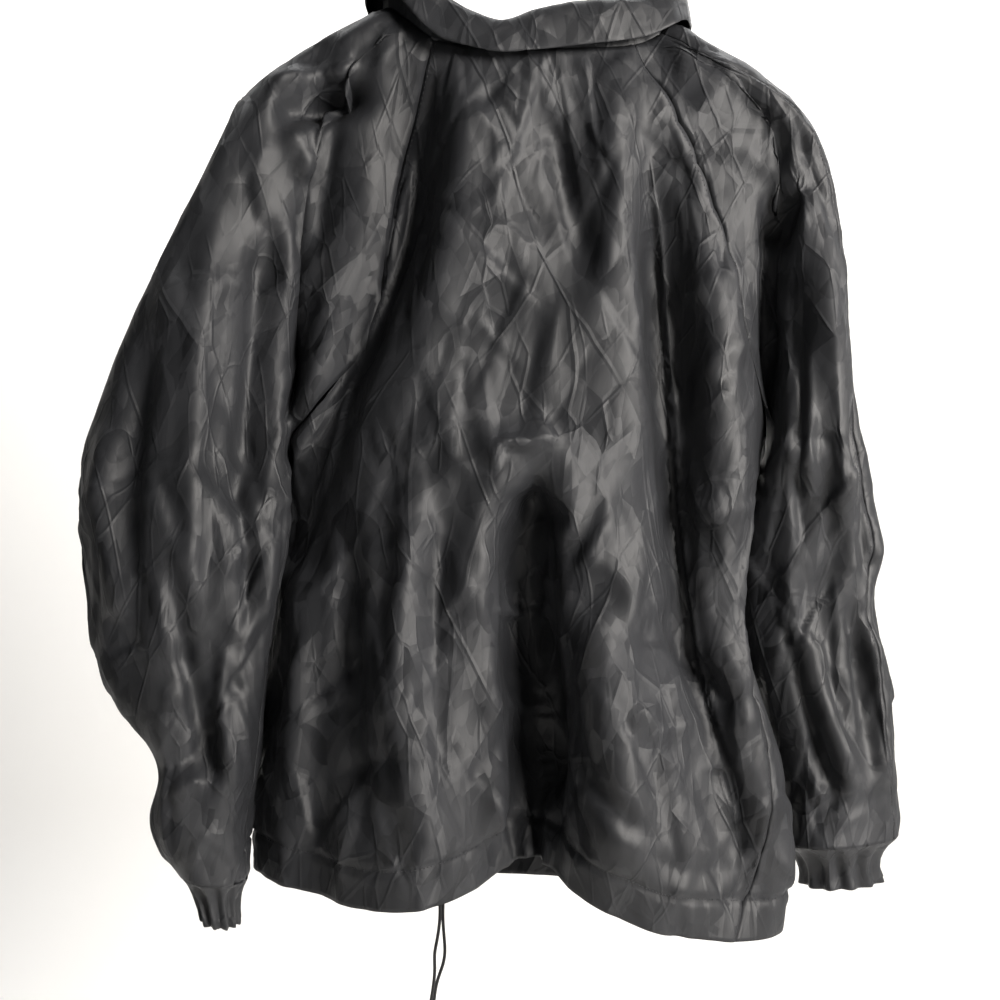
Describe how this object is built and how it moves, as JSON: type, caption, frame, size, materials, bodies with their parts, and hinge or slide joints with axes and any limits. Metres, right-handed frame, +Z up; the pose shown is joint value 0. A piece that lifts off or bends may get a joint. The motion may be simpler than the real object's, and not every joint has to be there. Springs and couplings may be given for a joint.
{
  "type": "windbreaker on a hanger",
  "caption": "Hip-length windbreaker of thin crinkled black nylon with raglan sleeves, turn-down collar, gathered cuffs and a corded hem, hanging from a plain hanger.",
  "frame": {"origin": "where the inside of the hanger's hook rests on the top of a rail", "axes": "+Z up, the jacket's back faces -Y, the wearer's left is at -X"},
  "size_m": [0.7049, 0.1609, 1.0178],
  "materials": {
    "nylon_taffeta": "black plain-weave nylon, crinkled, with a soft sheen",
    "elastic_casing": "black nylon gathered over elastic",
    "braided_cord": "black braided polyester cord",
    "enamelled_snap": "black enamel, satin",
    "pale_wood": "clear satin lacquer",
    "plated_wire": "bright plating"
  },
  "bodies": {
    "root": {"back": "nylon_taffeta", "front_left": "nylon_taffeta", "front_right": "nylon_taffeta", "sleeve_back_left": "nylon_taffeta", "sleeve_back_right": "nylon_taffeta", "sleeve_front_left": "nylon_taffeta", "sleeve_front_right": "nylon_taffeta", "collar": "nylon_taffeta", "cuff_left": "elastic_casing", "cuff_right": "elastic_casing", "drawstring_left": "braided_cord", "drawstring_right": "braided_cord", "snap_1": "enamelled_snap", "snap_2": "enamelled_snap", "snap_3": "enamelled_snap", "snap_4": "enamelled_snap", "snap_5": "enamelled_snap", "hanger_arms": "pale_wood", "hanger_hook": "plated_wire"}
  },
  "joints": []
}
